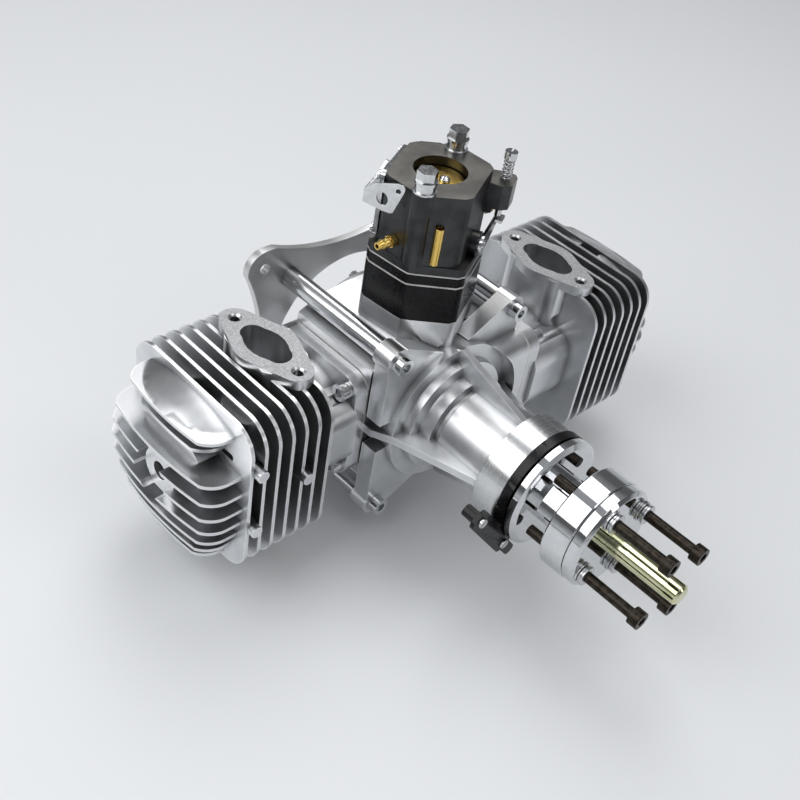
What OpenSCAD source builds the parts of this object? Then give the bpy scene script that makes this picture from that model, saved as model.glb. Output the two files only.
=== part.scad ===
// Two-cylinder boxer model aircraft engine, sizes in millimetres.
// X runs along the cylinders, the crank axis is Y with the propeller hub at -Y,
// and +Z is the side with the exhaust ports and the carburettor.
// The origin is where the crank axis meets the rear face of the mount plate.

/* [Cylinders] */
// distance between the centres of the two exhaust flanges
port_span = 160; // [140:1:180]
// fore and aft offset of each cylinder from the middle of the engine
stagger = 10.6; // [9:0.1:12]
// diameter of the cylinder bore
bore_d = 36; // [32:0.5:38]
// distance from the crank axis to the cylinder base seam
seam_x = 42.5; // [40:0.5:46]
// thickness of the cylinder base flange
base_t = 7.5; // [5:0.5:9]
// width of the cylinder base flange along the crank
base_w = 57.4; // [52:0.2:60]
// height of the cylinder base flange
base_h = 58; // [52:0.5:60]
// height of the exhaust flange face above the crank axis
port_z = 46.1; // [43:0.1:50]
// distance between the two exhaust flange screw holes
port_holes = 44; // [40:0.5:48]
// radius of the exhaust flange screw holes
port_hole_r = 2.1; // [1.7:0.1:2.6]
// distance from the crank axis to the spark plug seat
plug_x = 133; // [130:0.5:136]
// radius of the spark plug thread bore
plug_r = 4.5; // [3:0.1:6]

/* [Fins] */
// number of flat fins on each cylinder
fin_count = 7; // [5:1:8]
// distance between two flat fins
fin_pitch = 6.97; // [6:0.01:7.2]
// thickness of a fin
fin_t = 1.7; // [1.2:0.1:2.2]
// width of a flat fin along the crank
fin_w = 82.6; // [76:0.2:82.6]
// top edge of the flat fins above the cylinder axis
fin_top = 41.7; // [38:0.1:43]
// bottom edge of the flat fins below the cylinder axis
fin_low = 38.8; // [35:0.1:41]
// corner radius of the flat fins
fin_r = 13; // [8:0.5:16]
// outer face of the outermost flat fin
fin_end = 117.8; // [115:0.1:119]

/* [Crank train] */
// crank throw
throw = 15; // [12:0.5:16]
// connecting rod length between centres
rod_len = 66; // [62:0.5:68]
// radius of the crank webs
web_r = 27; // [25:0.5:28]
// radius of the crank chamber
chamber_r = 33; // [32.6:0.1:34]
// height of the piston crown above the wrist pin
crown_h = 23; // [20:0.5:24]

/* [Crankcase] */
// outer radius of the crankcase barrel
case_r = 36.8; // [36:0.1:38]
// outer radius of the nose tube
nose_r = 22.2; // [21.8:0.1:23]
// front end of the nose tube, measured from the cylinder middle
nose_y = 75.3; // [70:0.1:80]
// height of the insulator seat above the crank axis
neck_z = 50; // [47:0.5:52]

/* [Mount] */
// distance from the cylinder middle to the rear face of the mount plate
mount_y = 52; // [50:0.5:56]
// thickness of the mount plate
plate_t = 4; // [3:0.5:6]
// spacing of the four mount plate holes, both ways
mount_pitch = 104; // [96:1:110]
// radius of the mount plate holes
mount_hole_r = 2.75; // [2.1:0.05:3.3]
// radius of the round opening in the mount plate
plate_open_r = 41.5; // [38:0.5:42]
// half spacing of the standoffs along X
stand_x = 37; // [35:0.5:38]
// half spacing of the standoffs along Z
stand_z = 43; // [42:0.5:45]
// radius of a standoff
stand_r = 5; // [4:0.5:6]

/* [Propeller hub] */
// radius of the propeller hub
hub_r = 25.7; // [24:0.1:27]
// radius of the circle of propeller bolts
bolt_ring_r = 19.5; // [16:0.5:20]
// turn of the first propeller bolt at rest
bolt_turn = 24.2; // [0:0.1:90]
// radius of a propeller bolt shank
bolt_r = 2.5; // [2:0.1:3]
// radius of the centre stud
stud_r = 5; // [4:0.5:6]

/* [Carburettor] */
// turn of the carburettor about its throat
carb_turn = 27; // [0:1:45]
// half spacing of the carburettor bolts
carb_bolt = 21.3; // [19:0.1:22]
// top face of the carburettor
carb_top = 113.2; // [108:0.1:118]
// radius of the throttle bore
throat_r = 11.5; // [10:0.1:12]
// radius of the choke bore
choke_r = 12; // [11.5:0.1:12.5]

/* [Hidden] */
$fn = 64;
// running clearance between bodies, and screw sizes that several pieces share
gap = 0.3;
bore_r = bore_d / 2;
port_x = port_span / 2;
pin_x = sqrt(rod_len * rod_len - throw * throw);
tilt = asin(throw / rod_len);
// cylinder casting
base_r = 9;
base_y = 22.4;
base_z = 22.6;
base_depth = 9.5;
gasket_t = 0.5;
spigot_r = bore_r + 1.7;
barrel_r = bore_r + 5.5;
head_core_r = 26;
dome_x = rod_len + throw + crown_h + 0.9;
plug_reach = 12.8;
peg_r = 2.8;
peg_proud = 3.3;
port_t = 4.8;
flange_r = 14.8;
flange_end_r = 7.5;
head_low = -35.4;
head_pitch = 8.6;
head_half = 38;
head_x = 139;
head_fin_r = 12.3;
crown_r = 165;
dome_r = 92.5;
dome_top = 39.3;
slot_y = 24.8;
slot_z = 21.9;
// crankcase and covers
case_front = -31.5;
case_rear = 34;
cover_r = case_r - 8.8;
cover_t = 6;
cover_ring_r = (case_r + cover_r) / 2;
cover_screw_r = 1.75;
stand_y0 = -18;
boss_r = 6.5;
boss_len = 10;
plate_y0 = mount_y - plate_t;
plate_edge = 9.5;
plate_waist = 52;
plate_arc = 117;
// shaft, bearings and seal
shaft_r = 8.5;
main_r = 21;
main_y0 = -39;
small_r = 17.5;
small_w = 10;
rear_y0 = 27;
collar_r = 27.5;
collar_y = -nose_y - 13.9;
seal_y = -nose_y - small_w;
seal_r = 14;
web_in = 5.3;
web_out = 15.9;
web_t = 10;
rod_t = 10;
big_end_r = 9.5;
small_end_r = 6.8;
crank_pin_r = 5.5;
wrist_r = 4;
ring_t = 1.5;
// propeller hub
sensor_y = collar_y - 4.7;
hub_back = sensor_y - 0.5;
disc_r = 27.5;
disc_front = hub_back - 5.6;
spool_front = hub_back - 19.9;
hub_seam = hub_back - 32.3;
washer_front = hub_seam - 6.5;
shaft_front = hub_seam + 14.7;
stud_back = hub_seam + 26.7;
stud_front = washer_front - 38;
prop_head_y = washer_front - 28.3;
prop_bolt_end = disc_front - 3;
stud_thread_r = stud_r - 1;
post_w = 7.2;
post_len = 7.9;
post_turn = 45.5;
magnet_r = 2.5;
// ignition sensor
sensor_turn = 218.5;
sensor_out = collar_r + 3.5;
sensor_mid = -4.9;
sensor_holes = [-29.5, 3.75];
// stack under the carburettor
carb_y = 0.4;
neck_w = 23;
neck_u = 16;
neck_tip = 25;
ins_top = neck_z + 18.5;
spacer_z0 = ins_top + 0.8;
spacer_z1 = spacer_z0 + 4.7;
carb_z = spacer_z1 + 0.8;
reed_w = 28;
reed_tip = neck_z - 14;
// carburettor
carb_w = 19.5;
venturi_r = 9.5;
spindle_r = 3;
throttle_z = carb_z + 9.2;
choke_z = carb_top - 8.2;
plate_gap = 0.3;
blade_t = 1;
stop_z0 = carb_top - 17.2;
stop_z1 = carb_top - 5.2;
idle_u = 18;
idle_v = -25;
idle_r = 1.5;
cover_z0 = carb_z + 5.7;
cover_plate_t = 2;
nipple_r = 1.9;
nipple_z = carb_z + 11.2;
facet_x = 23.3;
facet_mid = -1.05;
needle_r = 1.2;
needle_y = [-3.4, 3.4];
fitting_r = 2;
fitting_u = -21.8;
fitting_v = -9.6;
fitting_z0 = carb_z + 6.2;
lever_choke = carb_w + cover_plate_t + 1.9;
lever_throttle = -neck_w - 0.4;
leg_u = 23.9;
leg_v = 8.5;
stop_tab_z = throttle_z + 5.1;
idle_top = carb_top + 5;

// shared shapes, in a work frame whose y starts at the middle between the cylinders
module at_mount() { translate([0, -mount_y, 0]) children(); }
module at_left() { translate([0, stagger, 0]) rotate([0, 0, 180]) children(); }
module at_right() { translate([0, -stagger, 0]) children(); }
module at_carb() { translate([0, carb_y, 0]) rotate([0, 0, carb_turn]) children(); }
module cyl_x(r, x0, x1, y = 0, z = 0) {
  translate([x0, y, z]) rotate([0, 90, 0]) cylinder(r = r, h = x1 - x0);
}
module cyl_y(r, y0, y1, x = 0, z = 0) {
  translate([x, y0, z]) rotate([-90, 0, 0]) cylinder(r = r, h = y1 - y0);
}
module cyl_z(r, z0, z1, x = 0, y = 0) { translate([x, y, z0]) cylinder(r = r, h = z1 - z0); }
module cone_z(r0, r1, z0, z1, x = 0, y = 0) {
  translate([x, y, z0]) cylinder(r1 = r0, r2 = r1, h = z1 - z0);
}
module cone_y(r0, r1, y0, y1, x = 0, z = 0) {
  translate([x, y0, z]) rotate([-90, 0, 0]) cylinder(r1 = r0, r2 = r1, h = y1 - y0);
}
// prisms along Y of an (x, z) outline, along X of a (y, z) outline, along Z of (x, y)
module prof_y(y0, y1) { translate([0, y1, 0]) rotate([90, 0, 0]) linear_extrude(y1 - y0) children(); }
module prof_x(x0, x1) { translate([x0, 0, 0]) rotate([90, 0, 90]) linear_extrude(x1 - x0) children(); }
module prof_z(z0, z1) { translate([0, 0, z0]) linear_extrude(z1 - z0) children(); }
// an (r, y) profile turned about the crank axis
module rev_y() { rotate([-90, 0, 0]) rotate_extrude() children(); }
module rrect(w, h, r) {
  square([w - 2 * r, h], center = true);
  square([w, h - 2 * r], center = true);
  for (i = [-1, 1], j = [-1, 1]) translate([i * (w / 2 - r), j * (h / 2 - r)]) circle(r);
}
module ring_y(r_in, r_out, y0, y1, x = 0, z = 0) {
  difference() {
    cyl_y(r_out, y0, y1, x, z);
    cyl_y(r_in, y0 - 1, y1 + 1, x, z);
  }
}
// a socket head screw, head below z = 0 and shank above
module cap_screw(r, len) {
  head_r = 1.7 * r;
  head_h = 2 * r;
  difference() {
    union() {
      translate([0, 0, -head_h]) cylinder(r = head_r, h = head_h);
      cylinder(r = r, h = len);
    }
    translate([0, 0, -head_h - 1]) cylinder(r = 0.94 * r, h = r + 1, $fn = 6);
  }
}
// a slotted round head screw, head below z = 0 and shank above
module pan_screw(r, head_r, head_h, len) {
  difference() {
    union() {
      translate([0, 0, -head_h]) cylinder(r = head_r, h = head_h);
      cylinder(r = r, h = len);
    }
    translate([-head_r - 1, -0.3, -head_h - 1]) cube([2 * head_r + 2, 0.6, head_h * 0.45 + 1]);
  }
}
module along_y(x, y, z) { translate([x, y, z]) rotate([-90, 0, 0]) children(); }
module against_y(x, y, z) { translate([x, y, z]) rotate([90, 0, 0]) children(); }
module against_x(x, y, z) { translate([x, y, z]) rotate([0, -90, 0]) children(); }

// crankcase
module case_walls() {
  difference() {
    union() {
      for (s = [-1, 1]) prof_x(min(0, s * seam_x), max(0, s * seam_x))
        translate([-s * stagger, 0]) rrect(base_w, base_h, base_r);
    }
    cyl_y(case_r + 0.5, case_rear, case_rear + 10);
    cyl_y(case_r, case_front - 10, case_front);
  }
  cyl_y(case_r, case_front, case_rear);
  // saddle under the standoffs
  prof_y(stand_y0, case_rear) polygon([[-seam_x, base_h / 2 - 9], [-seam_x, base_h / 2],
    [-seam_x + 0.5, 33], [-30, 38], [-14, 40], [14, 40], [30, 38], [seam_x - 0.5, 33],
    [seam_x, base_h / 2], [seam_x, base_h / 2 - 9]]);
  // neck up to the insulator
  at_carb() prof_z(30, neck_z) pointed(neck_w, neck_u, neck_tip);
}
module case_nose() {
  rev_y() polygon([[0, -20], [case_r - 2.2, -20], [case_r - 2.2, -29], [30.5, -29],
    [29.5, -35.5], [24.6, -36.5], [24.6, -43], [21.2, -43.6], [21.2, -45.5], [nose_r, -46.2],
    [nose_r, -nose_y], [0, -nose_y]]);
  for (t = [0, 180]) rotate([0, t, 0]) prof_x(-1.7, 1.7)
    polygon([[-28, 20], [-28, 36], [-33.1, 38.2], [2 - nose_y, nose_r + 3.4],
      [-nose_y, nose_r + 3.2], [-nose_y, 18]]);
  for (s = [-1, 1]) prof_z(-2, 2)
    polygon([[s * 20, -18], [s * 42, -18], [s * 42, -22.5], [s * case_r, -32.3],
      [s * (nose_r + 2.4), 2.4 - nose_y], [s * (nose_r + 2.4), -nose_y], [s * 18, -nose_y]]);
}
module case_bosses() {
  for (i = [-1, 1], j = [-1, 1]) {
    cyl_y(boss_r, stand_y0 - boss_len, stand_y0, i * stand_x, j * stand_z);
    prof_y(stand_y0 - boss_len, stand_y0 - 1)
      polygon([[i * (seam_x - 0.2), j * stand_z], [i * (seam_x - 0.2), j * 8], [i * 20, j * 8],
        [i * 8, j * 36.5], [i * (stand_x - 4), j * (stand_z + 5.8)]]);
  }
}
module crankcase() at_mount() color("silver") {
  difference() {
    union() {
      case_walls();
      case_nose();
      case_bosses();
    }
    cyl_y(chamber_r, -26.3, 26.5);
    cyl_y(cover_r, 0, case_rear + 1);
    cyl_y(main_r, main_y0, 0);
    cyl_y(shaft_r + 2.5, -nose_y - 1, 0);
    cyl_x(spigot_r + gap, 0, seam_x + 1, -stagger);
    cyl_x(spigot_r + gap, -seam_x - 1, 0, stagger);
    at_carb() prof_z(20, neck_z + 1) rrect(reed_w, reed_w, 3);
    at_carb() prof_z(neck_z - 2, neck_z + 1) rrect(reed_w + 3, reed_w + 3, 3);
    for (s = [-1, 1]) at_carb() cyl_z(bolt_r + 0.1, 37, neck_z + 1, s * carb_bolt);
    for (i = [-1, 1], j = [-1, 1])
      cyl_y(bolt_r + 0.2, stand_y0 - boss_len - 1, stand_y0 + 1, i * stand_x, j * stand_z);
    at_left() base_holes(seam_x - base_depth, seam_x + 1, bolt_r + 0.1);
    at_right() base_holes(seam_x - base_depth, seam_x + 1, bolt_r + 0.1);
    for (k = [0 : 5]) rotate([0, 30 + 60 * k, 0]) cyl_y(cover_screw_r + 0.1, 27, case_rear + 1, cover_ring_r);
  }
}
module base_holes(x0, x1, r) {
  for (i = [-1, 1], j = [-1, 1]) cyl_x(r, x0, x1, i * base_y, j * base_z);
}
module front_collar() at_mount() color("gainsboro") {
  difference() {
    cone_y(collar_r - 0.8, collar_r, collar_y, -nose_y);
    cyl_y(small_r, seal_y, -nose_y + 1);
    cyl_y(seal_r, collar_y - 1, seal_y + 1);
  }
}
module rear_cover() at_mount() color("silver") {
  difference() {
    union() {
      cyl_y(case_r - 0.3, case_rear, case_rear + cover_t);
      cyl_y(cover_r - 0.1, 27, case_rear + 1);
    }
    cyl_y(small_r, 26, rear_y0 + small_w);
    for (k = [0 : 5]) rotate([0, 30 + 60 * k, 0])
      cyl_y(cover_screw_r + 0.2, 26, 60, cover_ring_r);
  }
}
module rear_cover_screws() at_mount() color("dimgray")
  for (k = [0 : 5]) rotate([0, 30 + 60 * k, 0])
    against_y(cover_ring_r, case_rear + cover_t, 0) cap_screw(cover_screw_r, cover_t + 6.5);

// mount plate and its standoffs
module mount_plate() at_mount() color("gainsboro") {
  difference() {
    prof_y(plate_y0, mount_y) difference() {
      rrect(mount_pitch + 2 * plate_edge, mount_pitch + 2 * plate_edge, plate_edge);
      for (s = [-1, 1]) {
        translate([0, s * (plate_waist + plate_arc)]) circle(plate_arc, $fn = 128);
        translate([s * (plate_waist - 2 + plate_arc), 0]) circle(plate_arc, $fn = 128);
      }
    }
    cyl_y(plate_open_r, 0, 60);
    for (i = [-1, 1], j = [-1, 1]) {
      cyl_y(mount_hole_r, 0, 60, i * mount_pitch / 2, j * mount_pitch / 2);
      cyl_y(bolt_r + 0.2, 0, 60, i * stand_x, j * stand_z);
      cone_y(bolt_r + 0.2, 2 * bolt_r + 0.2, mount_y - bolt_r, mount_y + 0.01, i * stand_x, j * stand_z);
    }
  }
}
module standoffs() at_mount() color("lightgray")
  for (i = [-1, 1], j = [-1, 1]) difference() {
    cyl_y(stand_r, stand_y0, plate_y0, i * stand_x, j * stand_z);
    cyl_y(bolt_r + 0.1, stand_y0 - 1, stand_y0 + 15, i * stand_x, j * stand_z);
    cyl_y(bolt_r + 0.1, plate_y0 - 14, plate_y0 + 1, i * stand_x, j * stand_z);
  }
module standoff_screws() at_mount() color("silver")
  for (i = [-1, 1], j = [-1, 1])
    along_y(i * stand_x, stand_y0 - boss_len, j * stand_z) cap_screw(bolt_r, boss_len + 14);
module plate_screws() at_mount() color("silver")
  for (i = [-1, 1], j = [-1, 1]) difference() {
    union() {
      cyl_y(bolt_r, plate_y0 - 13, mount_y - bolt_r, i * stand_x, j * stand_z);
      cone_y(bolt_r, 2 * bolt_r, mount_y - bolt_r, mount_y, i * stand_x, j * stand_z);
    }
    along_y(i * stand_x, mount_y - 1.6, j * stand_z) cylinder(r = 1.7, h = 5, $fn = 6);
  }

// one cylinder with its head, axis along +X
module fin_outline() {
  translate([0, (fin_top - fin_low) / 2]) rrect(fin_w, fin_top + fin_low, fin_r);
}
module flat_fins() {
  for (k = [0 : fin_count - 1]) prof_x(fin_end - k * fin_pitch - fin_t, fin_end - k * fin_pitch)
    fin_outline();
}
// outline of one head fin seen from above, its outer edge an arc with round corners
module head_outline(w, reach) {
  corner_x = reach - crown_r + 0.9
    + sqrt(pow(crown_r - head_fin_r, 2) - pow(w - head_fin_r, 2));
  intersection() {
    union() {
      translate([fin_end - 1, -w]) square([corner_x - fin_end + 1, 2 * w]);
      translate([fin_end - 1, head_fin_r - w]) square([reach - fin_end + 2, 2 * (w - head_fin_r)]);
      for (s = [-1, 1]) translate([corner_x, s * (w - head_fin_r)]) circle(head_fin_r);
    }
    translate([reach - crown_r, 0]) circle(crown_r, $fn = 128);
  }
}
function head_w(z) = head_half - z * z * (z < 0 ? 0.0088 : 0.0074);
function head_reach(z) = head_x - z * z * (z < 0 ? 0.0062 : 0.0048);
module head_fins() {
  for (k = [0 : 6]) {
    z = head_low + k * head_pitch;
    prof_z(z - fin_t / 2, z + fin_t / 2) head_outline(head_w(z), head_reach(z));
  }
  // short middle fin under the solid top block
  short_z = head_low + 7 * head_pitch;
  prof_z(short_z - fin_t / 2, short_z + fin_t / 2) head_outline(24, head_x - 7.5);
  // solid top block: a thin edge like a fin's, and a shallow dome on it
  block_z = head_low + 8 * head_pitch;
  prof_z(block_z - fin_t / 2, block_z + fin_t / 2) head_outline(head_w(block_z), head_reach(block_z));
  intersection() {
    prof_z(block_z, fin_top) head_outline(head_w(block_z) - 0.3, head_reach(block_z) - 0.3);
    translate([0, 0, dome_top - dome_r]) rotate([0, 90, 0]) rotate_extrude($fn = 128)
      polygon([[0, fin_end - 3], [dome_r, fin_end - 3], [dome_r, fin_end + 0.7],
        [dome_r - 0.5, fin_end + 3.3], [dome_r - 1.2, fin_end + 6], [dome_r - 2.1, fin_end + 9],
        [dome_r - 3.2, fin_end + 12], [dome_r - 6.2, fin_end + 18.3], [0, fin_end + 18.3]]);
  }
}
// long round flange: a middle and two end circles with straight tangents between them
module port_flange() {
  reach = port_holes / 2 - 1;
  lean = asin((flange_r - flange_end_r) / reach);
  mid = flange_r * [cos(lean), sin(lean)];
  end = flange_end_r * [cos(lean), sin(lean)] + [0, reach];
  circle(flange_r);
  for (s = [-1, 1]) {
    translate([0, s * reach]) circle(flange_end_r);
    polygon([[mid.x, s * mid.y], [end.x, s * end.y], [-end.x, s * end.y], [-mid.x, s * mid.y]]);
  }
}
module port_shape() {
  for (s = [-1, 1]) translate([0, s * 8.8]) circle(5.8);
  polygon([[5.6, 9.6], [7.4, 6], [8.5, 2.2], [8.5, -2.2], [7.4, -6], [5.6, -9.6],
    [-5.6, -9.6], [-7.4, -6], [-8.5, -2.2], [-8.5, 2.2], [-7.4, 6], [-5.6, 9.6]]);
}
module cylinder_casting() {
  difference() {
    union() {
      cyl_x(spigot_r, seam_x - 7.5, seam_x + 1);
      prof_x(seam_x + gasket_t, seam_x + base_t) rrect(base_w, base_h, base_r);
      cyl_x(barrel_r, seam_x + 1, 113);
      prof_x(seam_x + base_t - 1, fin_end - (fin_count - 1) * fin_pitch - 1) rrect(62, 38, 12);
      flat_fins();
      cyl_x(head_core_r, 112, 128);
      head_fins();
      cyl_x(10.5, 112, plug_x);
      translate([port_x, 0, 0]) prof_z(10, port_z - 1) rrect(24, 38, 8);
      translate([port_x, 0, 0]) prof_z(port_z - port_t, port_z) port_flange();
      for (p = [[fin_end - 4.3, 21], [fin_end - 29.8, 5.5], [fin_end - 3.3, -11]])
        cyl_y(peg_r, 30, fin_w / 2 + peg_proud, p.x, p.y);
    }
    cyl_x(bore_r, seam_x - 10, dome_x);
    translate([dome_x - 0.1, 0, 0]) rotate([0, 90, 0])
      cylinder(r1 = bore_r - 3, r2 = plug_r + 1.5, h = plug_x - plug_reach - dome_x + 0.1);
    cyl_x(plug_r, dome_x + 3, plug_x + 2);
    cyl_x(11.2, plug_x, plug_x + 20);
    translate([port_x, 0, 0]) prof_z(bore_r / 2, port_z + 1) port_shape();
    for (s = [-1, 1]) {
      cyl_z(port_hole_r, port_z - 10, port_z + 1, port_x, s * port_holes / 2);
      cone_z(port_hole_r, port_hole_r + 1.1, port_z - 1.1, port_z + 0.01, port_x, s * port_holes / 2);
    }
    // slot and small hole through the outermost flat fin
    prof_x(fin_end - fin_t - 1, fin_end + 1) translate([slot_y, slot_z]) rrect(9.5, 3.2, 1.5);
    cyl_x(0.9, fin_end - fin_t - 1, fin_end + 1, slot_y + 2.2, -29.2);
    base_holes(seam_x - 1, seam_x + base_t + 1, bolt_r + 0.2);
    base_holes(seam_x + base_t, fin_end - (fin_count - 1) * fin_pitch - fin_t, 5.2);
  }
}
module cylinder_left() at_mount() color("silver") at_left() cylinder_casting();
module cylinder_right() at_mount() color("silver") at_right() cylinder_casting();
module base_gasket() {
  difference() {
    prof_x(seam_x, seam_x + gasket_t) rrect(base_w, base_h, base_r);
    cyl_x(spigot_r + gap, seam_x - 1, seam_x + 1);
    base_holes(seam_x - 1, seam_x + 1, bolt_r + 0.2);
  }
}
module throat_plate(z0, z1, w) {
  at_carb() difference() {
    prof_z(z0, z1) pointed(w, neck_u, neck_tip);
    cyl_z(choke_r + 0.5, z0 - 1, z1 + 1);
    for (s = [-1, 1]) cyl_z(bolt_r + 0.3, z0 - 1, z1 + 1, s * carb_bolt);
  }
}
module gaskets() at_mount() color("lightgray") {
  at_left() base_gasket();
  at_right() base_gasket();
  throat_plate(ins_top, spacer_z0, neck_w);
  throat_plate(spacer_z1, carb_z, neck_w);
}
module base_screws() at_mount() color("silver")
  for (side = [0, 1], i = [-1, 1], j = [-1, 1])
    translate([0, (1 - 2 * side) * stagger, 0]) rotate([0, 0, 180 * (1 - side)])
      against_x(seam_x + base_t, i * base_y, j * base_z) cap_screw(bolt_r, base_t + base_depth - 1);

// pistons, rods and crank
module piston() {
  difference() {
    union() {
      difference() {
        cyl_x(bore_r - 0.05, pin_x - 14, pin_x + crown_h);
        cyl_x(bore_r - 2.5, pin_x - 15, pin_x + crown_h - 4.5);
      }
      intersection() {
        cyl_x(bore_r - 1, pin_x - 8, pin_x + crown_h - 1);
        for (s = [-1, 1]) cyl_y(7.5, min(s * 5.4, s * 17), max(s * 5.4, s * 17), pin_x);
      }
    }
    cyl_y(wrist_r, -20, 20, pin_x);
    for (g = [3, 6.5]) difference() {
      cyl_x(bore_r + 1, pin_x + crown_h - g - ring_t, pin_x + crown_h - g);
      cyl_x(bore_r - 1.7, pin_x, pin_x + crown_h);
    }
  }
}
module piston_rings() {
  for (g = [3, 6.5]) difference() {
    cyl_x(bore_r - 0.03, pin_x + crown_h - g - ring_t, pin_x + crown_h - g);
    cyl_x(bore_r - 1.6, pin_x, pin_x + crown_h);
    translate([pin_x, -0.2, 0]) cube([crown_h, 0.4, bore_r + 1]);
  }
}
module piston_left() at_mount() color("lightgray") at_left() piston();
module piston_right() at_mount() color("lightgray") at_right() piston();
module rings_left() at_mount() color("dimgray") at_left() piston_rings();
module rings_right() at_mount() color("dimgray") at_right() piston_rings();
module wrist_pin() {
  difference() {
    cyl_y(wrist_r, -15, 15, pin_x);
    cyl_y(wrist_r - 1.8, -16, 16, pin_x);
  }
}
module wrist_pin_left() at_mount() color("gray") at_left() wrist_pin();
module wrist_pin_right() at_mount() color("gray") at_right() wrist_pin();
// rod with its crank pin eye at the origin and its wrist pin eye along +X
module rod_pocket(y0, y1) {
  prof_y(y0, y1) polygon([[big_end_r + 3, 3.6], [rod_len - 9, 2.6], [rod_len - 9, -2.6],
    [big_end_r + 3, -3.6]]);
}
module rod_blank() {
  difference() {
    union() {
      cyl_y(big_end_r, -rod_t / 2, rod_t / 2);
      cyl_y(small_end_r, -rod_t / 2, rod_t / 2, rod_len);
      prof_y(0.5 - rod_t / 2, rod_t / 2 - 0.5) polygon([[7, 6.2], [rod_len - 4.5, 4.6],
        [rod_len - 4.5, -4.6], [7, -6.2]]);
    }
    cyl_y(crank_pin_r, -rod_t, rod_t);
    cyl_y(wrist_r + 0.05, -rod_t, rod_t, rod_len);
    rod_pocket(rod_t / 2 - 3, rod_t);
    rod_pocket(-rod_t, 3 - rod_t / 2);
  }
}
module con_rod(side) {
  translate([0, 0, -side * throw]) rotate([0, side < 0 ? 180 - tilt : -tilt, 0]) rod_blank();
}
module con_rod_left() at_mount() color("gray") translate([0, stagger, 0]) con_rod(-1);
module con_rod_right() at_mount() color("gray") translate([0, -stagger, 0]) con_rod(1);
module crank_pin_left() at_mount() color("darkgray")
  cyl_y(crank_pin_r, stagger - rod_t / 2, stagger + rod_t / 2, 0, throw);
module crank_pin_right() at_mount() color("darkgray")
  cyl_y(crank_pin_r, -stagger - rod_t / 2, rod_t / 2 - stagger, 0, -throw);
// round web with its sides cut away beside the counterweight
module web(y0, y1, turn) {
  difference() {
    cyl_y(web_r, y0, y1);
    for (s = [-1, 1]) rotate([0, turn, 0]) translate([s * 22 - 6, y0 - 1, 9]) cube([12, y1 - y0 + 2, 30]);
  }
}
module crankshaft() at_mount() color("darkgray") {
  difference() {
    union() {
      web(-web_out - web_t, -web_out, 180);
      cyl_y(10, main_y0 - 2, -web_out - web_t + 1);
      cyl_y(shaft_r, shaft_front, main_y0);
    }
    cyl_y(stud_thread_r, shaft_front - 1, stud_back);
  }
}
module crank_middle_web() at_mount() color("darkgray") cyl_y(web_r, -web_in, web_in);
module crank_rear() at_mount() color("darkgray") {
  web(web_out, web_out + web_t, 0);
  cyl_y(shaft_r, web_out + web_t - 1, rear_y0 + small_w - 0.5);
}

// ball bearings and seal
module ball_bearing(r_in, r_out, y0, y1) {
  wall = (r_out - r_in) * 0.28;
  ring_y(r_in + 0.05, r_in + wall, y0, y1);
  ring_y(r_out - wall, r_out, y0, y1);
  ring_y(r_in + wall - 0.1, r_out - wall + 0.1, y0 + 0.5, y1 - 0.5);
}
module front_bearing() at_mount() color("lightgray") ball_bearing(shaft_r, small_r, seal_y, -nose_y);
module main_bearing() at_mount() color("lightgray") ball_bearing(10, main_r, main_y0, main_y0 + 12);
module rear_bearing() at_mount() color("lightgray") ball_bearing(shaft_r, small_r, rear_y0, rear_y0 + small_w);
module oil_seal() at_mount() color("dimgray") ring_y(shaft_r + 0.1, seal_r, collar_y, seal_y);

// propeller hub and what turns with it
module at_prop_bolts() {
  for (k = [0 : 3]) rotate([0, -bolt_turn - 90 * k, 0]) translate([bolt_ring_r, 0, 0]) children();
}
module prop_hub() at_mount() color("whitesmoke") {
  difference() {
    union() {
      rev_y() polygon([[0, hub_back], [disc_r - 0.8, hub_back], [disc_r, hub_back - 0.8],
        [disc_r, disc_front + 1.6], [disc_r - 2.5, disc_front], [0, disc_front]]);
      cyl_y(12.9, spool_front - 1, disc_front + 1);
      // four short posts behind the front part, from its rim in to the neck
      intersection() {
        cyl_y(hub_r - 0.7, spool_front - 1, spool_front + post_len);
        for (t = [0, 90]) rotate([0, -post_turn - t, 0])
          prof_y(spool_front - 1, spool_front + post_len) square([2 * hub_r, post_w], center = true);
      }
      rev_y() polygon([[0, hub_seam], [hub_r - 0.4, hub_seam], [hub_r, hub_seam + 0.6],
        [hub_r + 0.2, spool_front - 0.8], [hub_r - 0.6, spool_front], [0, spool_front]]);
    }
    cyl_y(shaft_r, shaft_front, hub_back + 1);
    cyl_y(stud_thread_r, hub_seam - 1, shaft_front + 1);
    at_prop_bolts() cyl_y(bolt_r + 0.1, hub_seam - 1, spool_front + 1);
    rotate([0, 138.5, 0]) cyl_y(magnet_r, hub_back - 3, hub_back + 1, 22);
  }
}
module prop_washer() at_mount() color("whitesmoke") {
  difference() {
    rev_y() polygon([[0, washer_front], [hub_r - 2, washer_front], [hub_r - 0.4, washer_front + 1.6],
      [hub_r - 0.4, hub_seam - 0.5], [hub_r - 0.9, hub_seam], [0, hub_seam]]);
    cyl_y(stud_thread_r + 0.1, washer_front - 1, hub_seam + 1);
    at_prop_bolts() cyl_y(bolt_r + 0.1, washer_front - 1, hub_seam + 1);
  }
}
module bolt_washers() at_mount() color("silver") at_prop_bolts() {
  ring_y(bolt_r + 0.15, 2 * bolt_r, washer_front - 1, washer_front);
  ring_y(bolt_r + 0.15, 2 * bolt_r - 0.6, washer_front - 2.4, washer_front - 1);
  ring_y(bolt_r + 0.15, 2 * bolt_r - 0.2, washer_front - 3.6, washer_front - 2.4);
}
module prop_bolts() at_mount() color("black") at_prop_bolts()
  along_y(0, prop_head_y, 0) cap_screw(bolt_r, prop_bolt_end - prop_head_y);
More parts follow.
